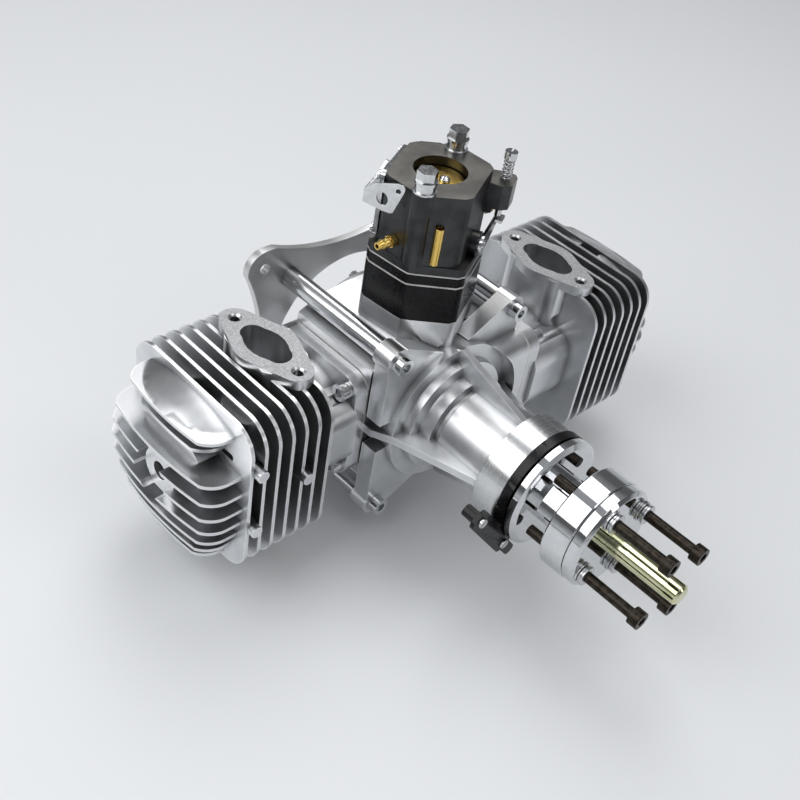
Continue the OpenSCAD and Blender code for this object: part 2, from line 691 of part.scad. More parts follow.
module prop_stud() at_mount() color("darkkhaki") {
  cyl_y(stud_r, stud_front + 1.2, washer_front);
  cyl_y(stud_thread_r, washer_front - 1, stud_back);
  cone_y(stud_r - 1.2, stud_r, stud_front, stud_front + 1.2);
}
module trigger_magnet() at_mount() color("dimgray")
  rotate([0, 138.5, 0]) cyl_y(magnet_r, hub_back - 3, hub_back, 22);

// ignition sensor on the collar
module at_sensor() { rotate([0, 360 - sensor_turn, 0]) children(); }
module sensor_ring() at_mount() color("black") {
  ring_y(19, collar_r, sensor_y, collar_y);
  at_sensor() difference() {
    prof_y(sensor_y, sensor_y + 2) translate([sensor_out, sensor_mid - 7.5]) rrect(10, 41, 3);
    cyl_y(collar_r - 1, -100, 0);
    for (t = sensor_holes) cyl_y(1.35, -100, 0, sensor_out, t);
  }
}
module hall_sensor() at_mount() color("black") at_sensor() difference() {
  prof_y(sensor_y + 2, collar_y + 4) translate([sensor_out, sensor_mid]) rrect(6, 56, 2.5);
  for (t = sensor_holes) cyl_y(1.3, -100, 0, sensor_out, t);
}
module sensor_screws() at_mount() color("silver") at_sensor() for (t = sensor_holes)
  along_y(sensor_out, sensor_y, t) pan_screw(1.25, 2.3, 1.6, 7.5);

// reed valve and insulator
module reed_block() at_mount() color("gray") at_carb() difference() {
  union() {
    prof_z(neck_z - 2, neck_z) rrect(reed_w + 2.8, reed_w + 2.8, 3);
    prof_x(-reed_w / 2 + 1, reed_w / 2 - 1) reed_wedge(reed_w / 2 - 1, reed_tip);
  }
  for (s = [-1, 1]) prof_x(min(s, s * (reed_w / 2 - 3)), max(s, s * (reed_w / 2 - 3)))
    reed_wedge(reed_w / 2 - 3, reed_tip + 2);
}
module reed_wedge(w, tip_z) {
  polygon([[-w, neck_z + 0.01], [w, neck_z + 0.01], [w, neck_z - 2.5], [1.5, tip_z],
    [-1.5, tip_z], [-w, neck_z - 2.5]]);
}
module reed_petals() at_mount() color("dimgray") at_carb() for (s = [-1, 1])
  prof_x(-reed_w / 2 + 2, reed_w / 2 - 2) polygon([[s * (reed_w / 2 - 1), neck_z - 2.5],
    [s * (reed_w / 2 - 0.6), neck_z - 2.7], [s * 2, reed_tip], [s * 1.5, reed_tip]]);
module insulator() at_mount() color("black") throat_plate(neck_z, ins_top, neck_w);
module carb_spacer() at_mount() color("black") throat_plate(spacer_z0, spacer_z1, neck_w);

// outline of the neck and the carburettor, pointed at both bolt ends
module pointed(w, u, tip) {
  polygon([[2 - u, w], [u - 2, w], [u + 1.1, w - 2.4], [tip - 0.9, 3], [tip, 0], [tip - 0.9, -3],
    [u + 1.1, 2.4 - w], [u - 2, -w], [2 - u, -w], [-u - 1.1, 2.4 - w], [0.9 - tip, -3], [-tip, 0],
    [0.9 - tip, 3], [-u - 1.1, w - 2.4]]);
}

// carburettor, in its own frame: bolts along x, shafts along y
module carb_body() at_mount() color("#5c5c5a") at_carb() difference() {
  union() {
    prof_z(carb_z, carb_z + 4.2) pointed(neck_w, neck_u, neck_tip);
    prof_z(carb_z + 4, carb_top) pointed(carb_w, neck_u + 0.5, neck_tip);
    for (s = [-1, 1]) cyl_z(5.2, carb_z + 4, carb_top, s * carb_bolt);
    cyl_y(5.5, -neck_w, -carb_w + 1, 0, throttle_z);
    // bracket that carries the idle screw
    prof_z(stop_z0, stop_z1) polygon([[11, -17], [23, -17], [24.5, -22], [24.5, -28], [22, -29.5],
      [14, -29.5], [11, -26]]);
    prof_z(stop_z0 - 3.5, stop_z0 + 1) polygon([[12, -17], [20, -17], [18, -22.5], [13, -22.5]]);
  }
  cyl_z(throat_r, carb_z - 1, throttle_z + 6);
  cone_z(throat_r, venturi_r, throttle_z + 6, throttle_z + 9);
  cyl_z(venturi_r, throttle_z + 9 - 0.1, choke_z - 8 + 0.1);
  cone_z(venturi_r, choke_r, choke_z - 8, choke_z - 5);
  cyl_z(choke_r, choke_z - 5.01, carb_top + 1);
  for (s = [-1, 1]) cyl_z(bolt_r + 0.3, carb_z - 1, carb_top + 1, s * carb_bolt);
  cyl_y(spindle_r + 0.05, -40, 17.3, 0, throttle_z);
  cyl_y(spindle_r + 0.05, -17.3, 40, 0, choke_z);
  at_cover_screws() cylinder(r = 1.3, h = 7);
  cyl_z(idle_r + 0.05, 60, 130, idle_u, idle_v);
  square_on() {
    cyl_x(nipple_r, -30, 4 - facet_x, -1, nipple_z);
    for (y = needle_y) cyl_x(needle_r + 0.05, facet_x - 7, 30, y, nipple_z);
  }
  cyl_z(fitting_r + 0.03, fitting_z0, fitting_z0 + 18.5, fitting_u, fitting_v);
}
// turns back to the engine's own axes, which two facets of the body stand square to
module square_on() { rotate([0, 0, -carb_turn]) children(); }
module at_cover_screws() {
  for (i = [-1, 1], z = [cover_z0 + 3, carb_top - 3.7])
    translate([i * 12.6, carb_w + cover_plate_t, z]) rotate([90, 0, 0]) children();
  at_facet() for (i = [-1, 1], z = [cover_z0 + 3, carb_top - 3.7])
    translate([facet_mid + i * 4, cover_plate_t, z]) rotate([90, 0, 0]) children();
}
// middle of the rear right facet, y pointing outwards
module at_facet() {
  turn = atan2(neck_tip - 0.9 - neck_u - 1.6, carb_w - 2.4 - 3);
  translate([(neck_u + 1.6 + neck_tip - 0.9) / 2, (carb_w + 0.6) / 2, 0])
    rotate([0, 0, turn - 90]) children();
}
module carb_bolts() at_mount() color("silver") at_carb() for (s = [-1, 1]) {
  cyl_z(bolt_r, 38, carb_top + 5, s * carb_bolt);
  cyl_z(5, carb_top + 4.5, carb_top + 5.7, s * carb_bolt);
  translate([s * carb_bolt, 0, carb_top + 5.7 - 0.1]) cylinder(r = 4.6, h = 4.4, $fn = 6);
}
module ring_z(r_in, r_out, z0, z1, x = 0, y = 0) {
  difference() {
    cyl_z(r_out, z0, z1, x, y);
    cyl_z(r_in, z0 - 1, z1 + 1, x, y);
  }
}
module carb_bolt_washers() at_mount() color("silver") at_carb() for (s = [-1, 1]) {
  ring_z(bolt_r + 0.15, 5.2, carb_top, carb_top + 1, s * carb_bolt);
  ring_z(bolt_r + 0.15, 4.5, carb_top + 1, carb_top + 4.5, s * carb_bolt);
}
// spindle across the throat with a slot for its plate and a stub for its lever
module spindle(y0, y1, stub0, stub1, z, plate_r) {
  difference() {
    union() {
      cyl_y(spindle_r, y0, y1, 0, z);
      cyl_y(spindle_r - 1, stub0, stub1, 0, z);
    }
    translate([-10, -plate_r - 0.1, z - blade_t / 2]) cube([20, 2 * plate_r + 0.2, blade_t]);
  }
}
module choke_shaft() at_mount() color("silver") at_carb()
  spindle(-17, lever_choke, lever_choke - 1, lever_choke + 2, choke_z, choke_r - plate_gap);
module throttle_shaft() at_mount() color("silver") at_carb()
  spindle(lever_throttle, 17, lever_throttle - 2.2, lever_throttle + 1, throttle_z, throat_r - plate_gap);
module choke_plate() at_mount() color("goldenrod") at_carb() difference() {
  cyl_z(choke_r - plate_gap, choke_z - blade_t / 2, choke_z + blade_t / 2);
  cyl_z(1.6, choke_z - 5, choke_z + 5, -7.5, 1);
}
module throttle_plate() at_mount() color("goldenrod") at_carb()
  cyl_z(throat_r - plate_gap, throttle_z - blade_t / 2, throttle_z + blade_t / 2);
// lever with a leg bent round the body
module choke_lever() at_mount() color("silver") at_carb() difference() {
  union() {
    prof_y(lever_choke + 0.1, lever_choke + 1.5) {
      translate([0, choke_z]) circle(4.6);
      polygon([[0, choke_z - 3.5], [0, choke_z + 3.5], [-leg_u - 0.8, choke_z + 3],
        [-leg_u - 0.8, choke_z - 3]]);
    }
    prof_x(-leg_u - 0.8, -leg_u) polygon([[leg_v, choke_z - 4], [leg_v + 2.5, choke_z - 7],
      [lever_choke + 1.5, choke_z - 7], [lever_choke + 1.5, choke_z + 4], [leg_v + 5, choke_z + 6.5],
      [leg_v, choke_z + 6.5]]);
    prof_y(lever_choke - 1, lever_choke + 1.5)
      polygon([[-leg_u - 0.8, choke_z - 7], [-leg_u, choke_z - 7], [-leg_u, choke_z + 4],
        [-leg_u - 0.8, choke_z + 4]]);
    cyl_x(1.9, -leg_u - 2, -leg_u, leg_v + 8.3, choke_z - 0.5);
  }
  cyl_y(spindle_r - 0.95, 0, 40, 0, choke_z);
  cyl_x(1, -leg_u - 5, -leg_u + 3, leg_v + 2.3, choke_z + 4.2);
}
module throttle_lever() at_mount() color("silver") at_carb() difference() {
  union() {
    prof_y(lever_throttle - 1.8, lever_throttle - 0.2) {
      translate([0, throttle_z]) circle(5);
      polygon([[0, throttle_z - 5], [17, throttle_z + 1], [21, throttle_z + 2], [21, stop_tab_z],
        [15, stop_tab_z], [0, throttle_z + 5]]);
    }
    prof_y(idle_v - 3, lever_throttle - 0.2) polygon([[15, stop_tab_z - 1.5], [21, stop_tab_z - 1.5],
      [21, stop_tab_z], [15, stop_tab_z]]);
  }
  cyl_y(spindle_r - 0.95, -40, 0, 0, throttle_z);
}
module pump_cover() at_mount() color("darkgray") at_carb() difference() {
  at_facet() prof_y(0, cover_plate_t) translate([facet_mid, (cover_z0 + carb_top - 0.7) / 2])
    rrect(12.4, carb_top - 0.7 - cover_z0, 2.5);
  at_cover_screws() cylinder(r = 1.35, h = 7);
}
module metering_cover() at_mount() color("darkgray") at_carb() difference() {
  prof_y(carb_w, carb_w + cover_plate_t) translate([0, (cover_z0 + carb_top - 0.7) / 2])
    rrect(2 * neck_u - 1, carb_top - 0.7 - cover_z0, 3);
  cyl_y(spindle_r + 0.1, 0, 40, 0, choke_z);
  at_cover_screws() cylinder(r = 1.35, h = 7);
}
module cover_screws() at_mount() color("silver") at_carb() at_cover_screws() pan_screw(1.25, 2.2, 1.6, 6.5);
module fuel_nipple() at_mount() color("goldenrod") at_carb() square_on() difference() {
  union() {
    cyl_x(nipple_r, -facet_x - 3, 3.9 - facet_x, -1, nipple_z);
    translate([-facet_x - 2.8, -1, nipple_z]) rotate([0, 90, 0]) cylinder(r = 3, h = 2.8, $fn = 6);
    cyl_x(nipple_r - 0.2, -facet_x - 9.7, -facet_x - 2, -1, nipple_z);
    for (x = [3.6, 6.6]) translate([-facet_x - x - 2.4, -1, nipple_z]) rotate([0, 90, 0])
      cylinder(r1 = nipple_r - 0.2, r2 = nipple_r + 0.5, h = 2.4);
  }
  cyl_x(1, -facet_x - 12, 3 - facet_x, -1, nipple_z);
}
module brass_fitting() at_mount() color("goldenrod") at_carb() difference() {
  cyl_z(fitting_r, fitting_z0, fitting_z0 + 18, fitting_u, fitting_v);
  cyl_z(1.1, fitting_z0 + 6, fitting_z0 + 25, fitting_u, fitting_v);
}
module needle(y) {
  cyl_x(needle_r, facet_x - 6.8, facet_x + 9, y, nipple_z);
  difference() {
    cyl_x(2.4, facet_x + 8, facet_x + 11.5, y, nipple_z);
    translate([facet_x + 10.3, y - 3, nipple_z - 0.3]) cube([3, 6, 0.6]);
  }
}
module high_needle() at_mount() color("goldenrod") at_carb() square_on() needle(needle_y[1]);
module low_needle() at_mount() color("goldenrod") at_carb() square_on() needle(needle_y[0]);
// round wire spring along Z
module coil_z(r, wire, z0, z1, turns) {
  steps = 10 * turns;
  rise = (z1 - z0 - 2 * wire) / steps;
  pts = [for (i = [0 : steps], j = [0 : 4]) let (out = r + wire * cos(72 * j))
    [out * cos(36 * i), out * sin(36 * i), z0 + wire + rise * i + wire * sin(72 * j)]];
  sides = [for (i = [0 : steps - 1], j = [0 : 4], t = [0, 1]) let (a = 5 * i + j, b = 5 * i + (j + 1) % 5)
    t == 0 ? [a, b, b + 5] : [a, b + 5, a + 5]];
  polyhedron(pts, concat([[4, 3, 2, 1, 0]], sides, [[for (j = [0 : 4]) 5 * steps + j]]));
}
module adjuster_springs() at_mount() color("silver") at_carb() {
  translate([idle_u, idle_v, 0]) coil_z(idle_r + 0.75, 0.4, stop_z1 + 0.05, idle_top - 0.05, 5);
  square_on() for (y = needle_y) translate([0, y, nipple_z]) rotate([0, 90, 0])
    coil_z(needle_r + 0.6, 0.3, facet_x + 0.05, facet_x + 7.95, 6);
}
module idle_screw() at_mount() color("silver") at_carb() difference() {
  union() {
    cyl_z(idle_r, stop_tab_z + gap, idle_top + 1, idle_u, idle_v);
    cyl_z(2.9, idle_top, idle_top + 3.5, idle_u, idle_v);
  }
  translate([idle_u - 4, idle_v - 0.4, idle_top + 2]) cube([8, 0.8, 3]);
}

crankcase();
front_collar();
rear_cover();
rear_cover_screws();
mount_plate();
standoffs();
standoff_screws();
plate_screws();
cylinder_left();
cylinder_right();
gaskets();
base_screws();
piston_left();
piston_right();
rings_left();
rings_right();
wrist_pin_left();
wrist_pin_right();
con_rod_left();
con_rod_right();
crank_pin_left();
crank_pin_right();
crankshaft();
crank_middle_web();
crank_rear();
front_bearing();
main_bearing();
rear_bearing();
oil_seal();
prop_hub();
prop_washer();
bolt_washers();
prop_bolts();
prop_stud();
trigger_magnet();
sensor_ring();
hall_sensor();
sensor_screws();
reed_block();
reed_petals();
insulator();
carb_spacer();
carb_body();
carb_bolts();
carb_bolt_washers();
choke_shaft();
choke_plate();
choke_lever();
throttle_shaft();
throttle_plate();
throttle_lever();
pump_cover();
metering_cover();
cover_screws();
fuel_nipple();
brass_fitting();
high_needle();
low_needle();
adjuster_springs();
idle_screw();
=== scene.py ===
import math

import bmesh
import bpy
from mathutils import Matrix, Vector


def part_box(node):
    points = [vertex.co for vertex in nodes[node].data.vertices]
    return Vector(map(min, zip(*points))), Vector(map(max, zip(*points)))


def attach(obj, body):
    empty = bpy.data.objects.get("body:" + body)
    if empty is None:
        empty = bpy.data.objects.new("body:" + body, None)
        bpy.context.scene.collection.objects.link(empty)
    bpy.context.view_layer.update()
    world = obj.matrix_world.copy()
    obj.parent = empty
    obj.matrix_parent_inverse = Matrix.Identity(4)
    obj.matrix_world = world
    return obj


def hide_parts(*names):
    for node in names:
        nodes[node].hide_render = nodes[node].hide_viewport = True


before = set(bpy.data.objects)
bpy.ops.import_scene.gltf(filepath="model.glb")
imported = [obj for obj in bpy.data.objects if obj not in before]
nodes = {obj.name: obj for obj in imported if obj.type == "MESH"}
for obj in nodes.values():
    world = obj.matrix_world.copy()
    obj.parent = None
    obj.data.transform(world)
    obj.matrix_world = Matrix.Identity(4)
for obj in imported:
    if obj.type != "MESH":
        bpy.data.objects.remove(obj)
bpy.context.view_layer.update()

MM = 0.001
MOUNT_Y = 52          # y of the mount face in the work frame, mm
CARB_TURN = 27        # turn of the carburettor stack, degrees
CARB_Y = 0.4          # y of the carburettor stack's axis in the work frame, mm


def at(x, y, z):
    """A point of the work frame in mm, as a point of the shared frame in metres."""
    return Vector((x, y - MOUNT_Y, z)) * MM


def at_carb(u, v, z):
    """A point of the carburettor's own frame in mm, as a point of the shared frame in metres."""
    c, s = math.cos(math.radians(CARB_TURN)), math.sin(math.radians(CARB_TURN))
    return at(u * c - v * s, u * s + v * c + CARB_Y, z)


# camera at the photograph's viewing angle
LENS, SENSOR, NEAREST = 52.49, 36, 0.01
CAMERA_AT = Vector((-337.7, -339.5, 355.4)) * MM
RIGHT = Vector((0.72619, -0.67284, 0.14117))
DOWN = Vector((-0.36221, -0.54897, -0.75328))
FORWARD = Vector((0.58434, 0.4959, -0.64237))


def add_camera():
    data = bpy.data.cameras.new("camera")
    data.sensor_width, data.lens, data.clip_start = SENSOR, LENS, NEAREST
    cam = bpy.data.objects.new("camera", data)
    bpy.context.scene.collection.objects.link(cam)
    turn = Matrix((RIGHT, -DOWN, -FORWARD)).transposed().to_4x4()
    cam.matrix_world = Matrix.Translation(CAMERA_AT) @ turn
    bpy.context.scene.camera = cam


def softbox(name, place, aim, size, power):
    data = bpy.data.lights.new(name, "AREA")
    data.shape, data.size, data.size_y = "RECTANGLE", size[0], size[1]
    data.energy = power
    lamp = bpy.data.objects.new(name, data)
    bpy.context.scene.collection.objects.link(lamp)
    lamp.location = place
    lamp.rotation_mode = "QUATERNION"
    lamp.rotation_quaternion = (Vector(aim) - Vector(place)).to_track_quat("-Z", "Y")


# material nodes
CORNER_RAYS = 6


class Nodes:
    """A material's node tree, with one method for each kind of node that the finishes use."""

    def __init__(self, name):
        self.mat = bpy.data.materials.new(name)
        self.mat.use_nodes = True
        self.tree = self.mat.node_tree
        self.shader = self.tree.nodes["Principled BSDF"]
        self.coord = self.tree.nodes.new("ShaderNodeTexCoord").outputs["Object"]

    def new(self, kind, **values):
        node = self.tree.nodes.new(kind)
        for key, value in values.items():
            if hasattr(node, key):
                setattr(node, key, value)
            else:
                node.inputs[key.replace("_", " ")].default_value = value
        return node

    def link(self, a, b):
        self.tree.links.new(a, b)

    def split(self, vector):
        """The x, y and z of a vector."""
        node = self.new("ShaderNodeSeparateXYZ")
        self.link(vector, node.inputs[0])
        return node.outputs["X"], node.outputs["Y"], node.outputs["Z"]

    def noise(self, size_mm, detail=3, rough=0.5):
        node = self.new("ShaderNodeTexNoise", Scale=1 / (size_mm * MM), Detail=detail, Roughness=rough)
        self.link(self.coord, node.inputs["Vector"])
        return node.outputs["Fac"]

    def remap(self, value, low, high, to_low, to_high):
        node = self.new("ShaderNodeMapRange")
        self.link(value, node.inputs["Value"])
        for key, number in zip(("From Min", "From Max", "To Min", "To Max"), (low, high, to_low, to_high)):
            node.inputs[key].default_value = number
        return node.outputs["Result"]

    def math(self, kind, a, b):
        node = self.new("ShaderNodeMath", operation=kind)
        for i, value in enumerate((a, b)):
            if isinstance(value, (int, float)):
                node.inputs[i].default_value = value
            else:
                self.link(value, node.inputs[i])
        return node.outputs[0]

    def blend(self, factor, dark, light):
        node = self.new("ShaderNodeMix", data_type="RGBA")
        self.link(factor, node.inputs["Factor"])
        for key, colour in (("A", dark), ("B", light)):
            socket = [s for s in node.inputs if s.name == key and s.type == "RGBA"][0]
            if isinstance(colour, tuple):
                socket.default_value = (*colour, 1)
            else:
                self.link(colour, socket)
        return [s for s in node.outputs if s.type == "RGBA"][0]

    def bump(self, height, depth_mm, strength, under=None):
        node = self.new("ShaderNodeBump", Strength=strength, Distance=depth_mm * MM)
        self.link(height, node.inputs["Height"])
        if under:
            self.link(under, node.inputs["Normal"])
        return node.outputs["Normal"]

    def corners(self, reach_mm, inside):
        """How open a point is: low in a recess, or with inside set, low at an outer edge."""
        node = self.new("ShaderNodeAmbientOcclusion", samples=CORNER_RAYS, inside=inside,
                        Distance=reach_mm * MM)
        return node.outputs["AO"]

    def set(self, **values):
        for key, value in values.items():
            socket = self.shader.inputs[key.replace("_", " ")]
            if isinstance(value, tuple):
                socket.default_value = (*value, 1)
            elif isinstance(value, (int, float)):
                socket.default_value = value
            else:
                self.link(value, socket)
        return self.mat

    def lathe_lines(self, pitch_mm):
        """Noise in rings about the crank axis, as a turning tool leaves them."""
        x, y, z = self.split(self.coord)
        square = self.math("ADD", self.math("MULTIPLY", x, x), self.math("MULTIPLY", z, z))
        along = self.math("ADD", self.math("SQRT", square, 0), y)
        node = self.new("ShaderNodeTexNoise", noise_dimensions="1D", Scale=1.0, Detail=2.0)
        self.link(self.math("MULTIPLY", along, 1 / (pitch_mm * MM)), node.inputs["W"])
        return node.outputs["Fac"]


TONE_MM, PAINTED_SHADE_MM, WEAR_AND_HIGHLIGHT_MM = 14, 7, 0.9                  # sizes of a tone, of the painted shade in a recess, and of a worn edge with its painted highlight
PAINTED_SHADE_TONE, WEAR_AND_HIGHLIGHT_TONE, WEAR_AND_HIGHLIGHT_MOST = 0.42, 1.25, 0.93      # how dark the painted shade in a recess gets, and how bright the painted highlight on a worn edge
FACE_LOW, FACE_FULL = 0.25 * MM, 0.15 * MM                # below a gasket face, where its finish fades in
FACE_GRIT_MM, FACE_DARK, FACE_LIGHT, FACE_DULL = 0.8, 0.6, 0.88, 0.22
LEAST_ROUGH, MOST_ROUGH = 0.9, 1.12                       # spread of a casting's roughness


def shaded(colour, factor):
    return tuple(factor * c for c in colour)


def cast_metal(name, dark, light, rough, grain_mm, depth_mm, joint_face=None):
    """Cast or blasted metal: fine grain, a slow change of tone, painted shade darkening its recesses, and
    bright worn edges that also carry a painted highlight.

    joint_face is the height in metres of a flat gasket face, which is coarser and duller."""
    n = Nodes(name)
    tone = n.remap(n.noise(TONE_MM, 4), 0.35, 0.65, 0, 1)
    # painted shade: the colour darkens where a point sits in a recess, where shade falls
    painted_shade = n.remap(n.corners(PAINTED_SHADE_MM, False), 0.25, 0.85, 1, 0)
    # outer edges lightened, partly by real wear and partly by a painted highlight along them
    wear_and_highlight = n.remap(n.corners(WEAR_AND_HIGHLIGHT_MM, True), 0.55, 0.9, 1, 0)
    # the colour of a worn edge together with its painted highlight
    highlight_and_wear_colour = tuple(min(WEAR_AND_HIGHLIGHT_MOST, c) for c in shaded(light, WEAR_AND_HIGHLIGHT_TONE))
    # the random tone, with the painted shade of the recesses laid in
    tone_with_painted_shade = n.blend(painted_shade, n.blend(tone, dark, light), shaded(dark, PAINTED_SHADE_TONE))
    colour = n.blend(wear_and_highlight, tone_with_painted_shade, highlight_and_wear_colour)
    speck = n.noise(grain_mm, 3, 0.6)
    fine = n.noise(grain_mm * 0.3, 2, 0.5)
    normal = n.bump(fine, depth_mm * 0.3, 0.8, n.bump(speck, depth_mm, 0.8))
    gloss = n.remap(tone, 0, 1, rough * LEAST_ROUGH, rough * MOST_ROUGH)
    if joint_face is not None:
        height = n.split(n.coord)[2]
        flat = n.remap(height, joint_face - FACE_LOW, joint_face - FACE_FULL, 0, 1)
        grit = n.remap(n.noise(FACE_GRIT_MM, 3, 0.7), 0.4, 0.62, 0, 1)
        coarse = n.blend(grit, shaded(dark, FACE_DARK), shaded(dark, FACE_LIGHT))
        colour = n.blend(flat, colour, coarse)
        gloss = n.math("ADD", gloss, n.math("MULTIPLY", flat, FACE_DULL))
    return n.set(Base_Color=colour, Metallic=1.0, Roughness=gloss, Normal=normal)


def casting_lighter_facing_up(name, side, top, rough):
    """A dark casting whose faces that point up are lighter and browner than its sides."""
    n = Nodes(name)
    tone = n.remap(n.noise(9, 4), 0.35, 0.65, 0, 1)
    facing = n.split(n.new("ShaderNodeNewGeometry").outputs["Normal"])
    up = n.remap(facing[2], 0.8, 0.97, 0, 1)
    return n.set(Base_Color=n.blend(up, n.blend(tone, *side), n.blend(tone, *top)), Metallic=1.0,
                 Roughness=n.remap(tone, 0, 1, rough * LEAST_ROUGH, rough * MOST_ROUGH),
                 Normal=n.bump(n.noise(0.7, 3, 0.6), 0.008, 0.8))


def turned_metal(name, dark, light, rough, pitch_mm, depth_mm):
    """Metal turned on a lathe: rings about the crank axis, with faint scuffs."""
    n = Nodes(name)
    lines = n.lathe_lines(pitch_mm)
    scuff = n.noise(3, 5, 0.7)
    return n.set(Base_Color=n.blend(n.remap(scuff, 0.4, 0.7, 1, 0), dark, light), Metallic=1.0,
                 Roughness=n.remap(lines, 0.3, 0.7, rough * 0.6, rough * 1.5),
                 Normal=n.bump(lines, depth_mm, 0.6))


def plated_metal(name, dark, light, rough, size_mm=2.5):
    """Plated or oxidised fastener steel: blotches and fine scratches."""
    n = Nodes(name)
    blotch = n.noise(size_mm, 5, 0.65)
    fine = n.noise(0.25, 2)
    return n.set(Base_Color=n.blend(n.remap(blotch, 0.38, 0.62, 0, 1), dark, light), Metallic=1.0,
                 Roughness=n.remap(blotch, 0.3, 0.7, rough * 0.75, rough * 1.35),
                 Normal=n.bump(fine, 0.0006, 0.4))


def moulded(name, dark, light, rough, grain_mm=0.5, depth_mm=0.02, sheen=0.5):
    """Moulded or filled plastic, rubber or gasket board: matt grain with slight clouding."""
    n = Nodes(name)
    n.set(Specular_IOR_Level=sheen)
    cloud = n.noise(6, 4, 0.6)
    grain = n.noise(grain_mm, 3, 0.6)
    return n.set(Base_Color=n.blend(n.remap(cloud, 0.35, 0.65, 0, 1), dark, light),
                 Roughness=n.remap(grain, 0.3, 0.7, rough - 0.06, rough + 0.1),
                 Normal=n.bump(grain, depth_mm, 0.7))


HEAD_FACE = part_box("cylinder_left")[1][2]
CAST = cast_metal("cast_aluminium", (0.70, 0.71, 0.725), (0.80, 0.81, 0.825), 0.31, 1.1, 0.006)
FINE_CAST = cast_metal("fine_cast_aluminium", (0.66, 0.67, 0.685), (0.77, 0.78, 0.795), 0.31, 0.8, 0.006,
                       HEAD_FACE)
CARB = casting_lighter_facing_up("carburettor_casting", ((0.045, 0.046, 0.048), (0.075, 0.076, 0.078)),
                     ((0.15, 0.146, 0.136), (0.21, 0.204, 0.19)), 0.34)
MACHINED = cast_metal("machined_aluminium", (0.60, 0.60, 0.60), (0.65, 0.65, 0.65), 0.36, 0.6, 0.002)
TURNED = turned_metal("turned_aluminium", (0.62, 0.63, 0.64), (0.69, 0.70, 0.71), 0.22, 0.25, 0.003)
ROD = cast_metal("ground_rods", (0.62, 0.63, 0.64), (0.68, 0.69, 0.70), 0.17, 0.6, 0.0008)
POLISHED = turned_metal("polished_hub", (0.60, 0.61, 0.63), (0.68, 0.69, 0.70), 0.055, 0.2, 0.0012)
SCREW = plated_metal("bright_screws", (0.60, 0.61, 0.62), (0.72, 0.73, 0.74), 0.14)
SPRING = plated_metal("spring_steel", (0.50, 0.51, 0.52), (0.62, 0.63, 0.64), 0.28)
STEEL = plated_metal("forged_steel", (0.34, 0.34, 0.35), (0.48, 0.48, 0.49), 0.3)
BLACK_BOLT = plated_metal("black_oxide", (0.020, 0.017, 0.014), (0.050, 0.042, 0.034), 0.36)
STUD = plated_metal("yellow_zinc", (0.56, 0.58, 0.34), (0.70, 0.68, 0.45), 0.09, 8)
BRASS = plated_metal("brass", (0.74, 0.50, 0.13), (0.83, 0.59, 0.17), 0.22, 7)
PHENOLIC = moulded("black_insulator", (0.0035, 0.0035, 0.004), (0.008, 0.008, 0.009), 0.24, 0.8, 0.003, 0.18)
PLASTIC = moulded("black_sensor", (0.003, 0.003, 0.0035), (0.007, 0.007, 0.008), 0.26, 0.6, 0.006, 0.3)
RUBBER = moulded("seal_rubber", (0.012, 0.011, 0.010), (0.028, 0.026, 0.024), 0.55)
GASKET = moulded("gasket_board", (0.42, 0.43, 0.42), (0.58, 0.58, 0.56), 0.6, 0.3)
MAGNET = plated_metal("magnet", (0.40, 0.40, 0.42), (0.52, 0.52, 0.54), 0.2)
REED = moulded("reed_plastic", (0.05, 0.05, 0.055), (0.09, 0.09, 0.095), 0.4)

FINISHES = {
    CAST: "crankcase rear_cover",
    FINE_CAST: "cylinder_left cylinder_right",
    MACHINED: "mount_plate piston_left piston_right",
    TURNED: "front_collar",
    ROD: "standoffs",
    POLISHED: "prop_washer",
    SCREW: "rear_cover_screws standoff_screws plate_screws base_screws sensor_screws "
           "carb_bolts carb_bolt_washers choke_shaft throttle_shaft throttle_lever "
           "cover_screws idle_screw pump_cover metering_cover",
    SPRING: "adjuster_springs",
    STEEL: "rings_left rings_right wrist_pin_left wrist_pin_right con_rod_left con_rod_right "
           "crank_pin_left crank_pin_right crankshaft crank_middle_web crank_rear front_bearing "
           "main_bearing rear_bearing",
    BLACK_BOLT: "prop_bolts",
    STUD: "prop_stud",
    MAGNET: "trigger_magnet",
    PLASTIC: "sensor_ring hall_sensor",
    RUBBER: "oil_seal",
    GASKET: "gaskets",
    REED: "reed_block reed_petals",
    PHENOLIC: "insulator carb_spacer",
    CARB: "carb_body",
    BRASS: "throttle_plate fuel_nipple brass_fitting high_needle low_needle",
}
EDGES = {"crankcase": 0.7, "cylinder_left": 0.4, "cylinder_right": 0.4, "carb_body": 0.5,
         "insulator": 0.4, "carb_spacer": 0.3, "mount_plate": 0.5, "prop_washer": 0.25,
         "front_collar": 0.3}
SMALL_EDGE = 0.15
WELD_MM = 0.002
FLAT_WITHIN, SHARP_ABOVE = math.radians(0.6), math.radians(32)
EDGE_STEPS, SHADE_WEIGHT = 2, 60


def soften(piece, edge_mm):
    """Rounds a piece's sharp edges a little, and shades its flat faces flat."""
    mesh = piece.data
    if mesh.attributes.get("custom_normal"):
        mesh.attributes.remove(mesh.attributes["custom_normal"])
    mesh.polygons.foreach_set("use_smooth", [True] * len(mesh.polygons))
    weld = piece.modifiers.new("weld", "WELD")
    weld.merge_threshold = WELD_MM * MM
    flat = piece.modifiers.new("flat", "DECIMATE")
    flat.decimate_type, flat.angle_limit = "DISSOLVE", FLAT_WITHIN
    edge = piece.modifiers.new("edge", "BEVEL")
    edge.width, edge.segments = edge_mm * MM, EDGE_STEPS
    edge.limit_method, edge.angle_limit = "ANGLE", SHARP_ABOVE
    shade = piece.modifiers.new("shade", "WEIGHTED_NORMAL")
    shade.weight = SHADE_WEIGHT


def coat(piece, finish, edge_mm):
    """Gives a piece its finish and its edges."""
    piece.data.materials.clear()
    piece.data.materials.append(finish)
    soften(piece, edge_mm)


def dress():
    for finish, names in FINISHES.items():
        for name in names.split():
            coat(nodes[name], finish, EDGES.get(name, SMALL_EDGE))


